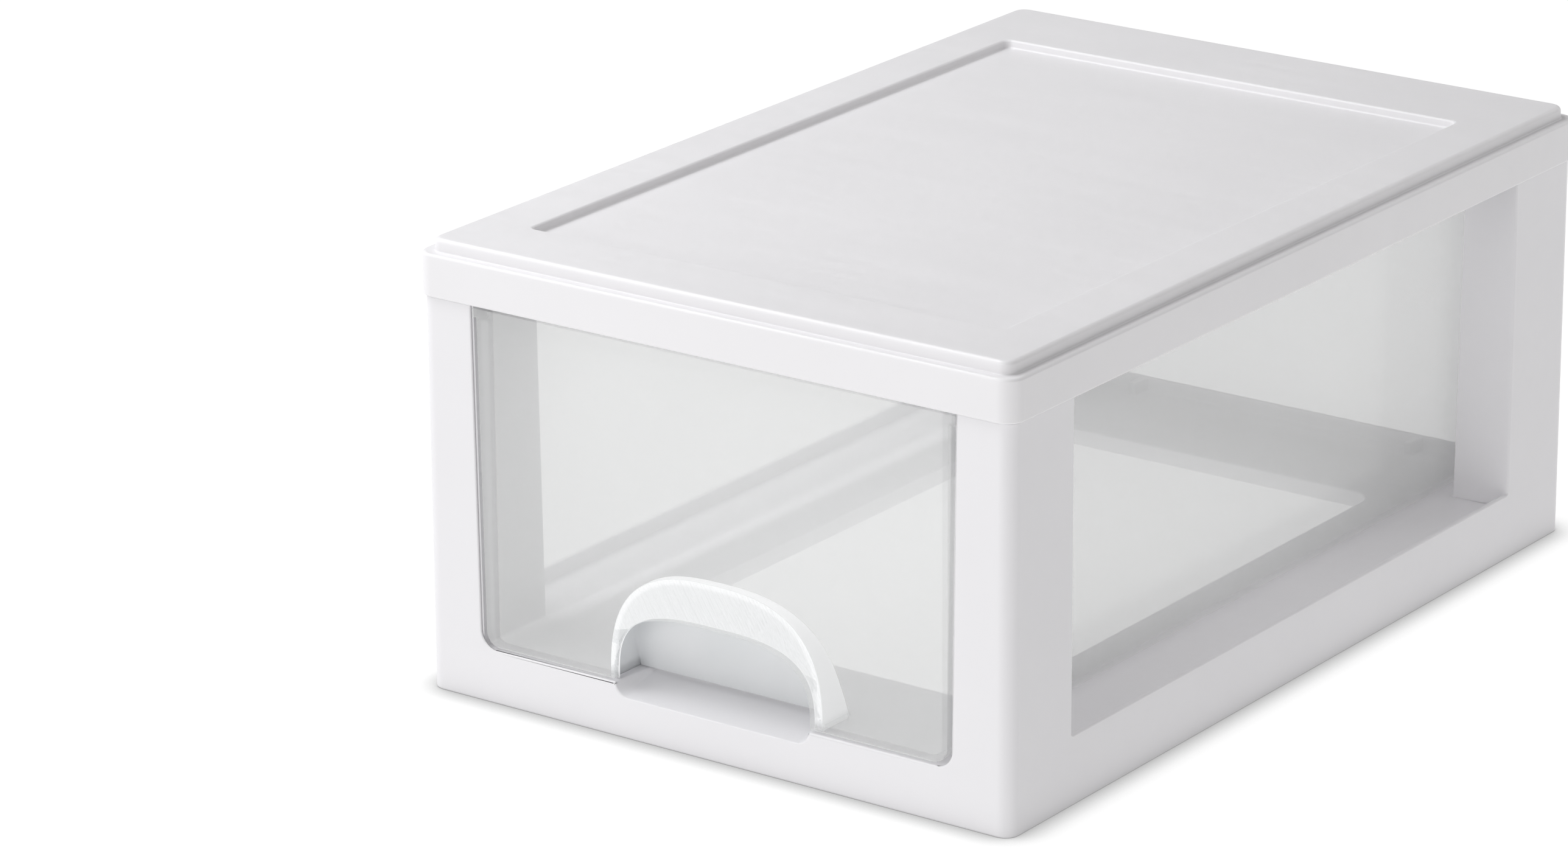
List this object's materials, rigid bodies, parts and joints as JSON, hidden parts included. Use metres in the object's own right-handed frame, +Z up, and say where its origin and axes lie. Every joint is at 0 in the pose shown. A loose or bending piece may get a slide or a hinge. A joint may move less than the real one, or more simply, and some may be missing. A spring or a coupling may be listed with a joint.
{
  "type": "stackable shoe drawer box",
  "caption": "Stackable shoe box: white open case with large windows, sunken top panel and a clear pull-out drawer with a moulded finger pull.",
  "frame": {"origin": "centre of the base, on the surface that the box stands on", "axes": "+Z up, the drawer pulls out along -Y, +X to the right seen from the front"},
  "size_m": [0.24, 0.36, 0.16],
  "materials": {
    "case_white": "satin moulded white polypropylene",
    "cover_white": "satin moulded white polypropylene",
    "clear_drawer": "glossy, slightly milky see-through polystyrene",
    "frosted_pull": "finely textured translucent polystyrene"
  },
  "bodies": {
    "case": {"base_frame": "case_white", "top_cover": "cover_white"},
    "drawer": {"drawer_bin": "clear_drawer", "finger_pull": "frosted_pull"}
  },
  "joints": [
    {"name": "drawer_slide", "type": "slide", "parent": "case", "child": "drawer", "axis": [0, -1, 0], "range_m": [0, 0.28]}
  ]
}
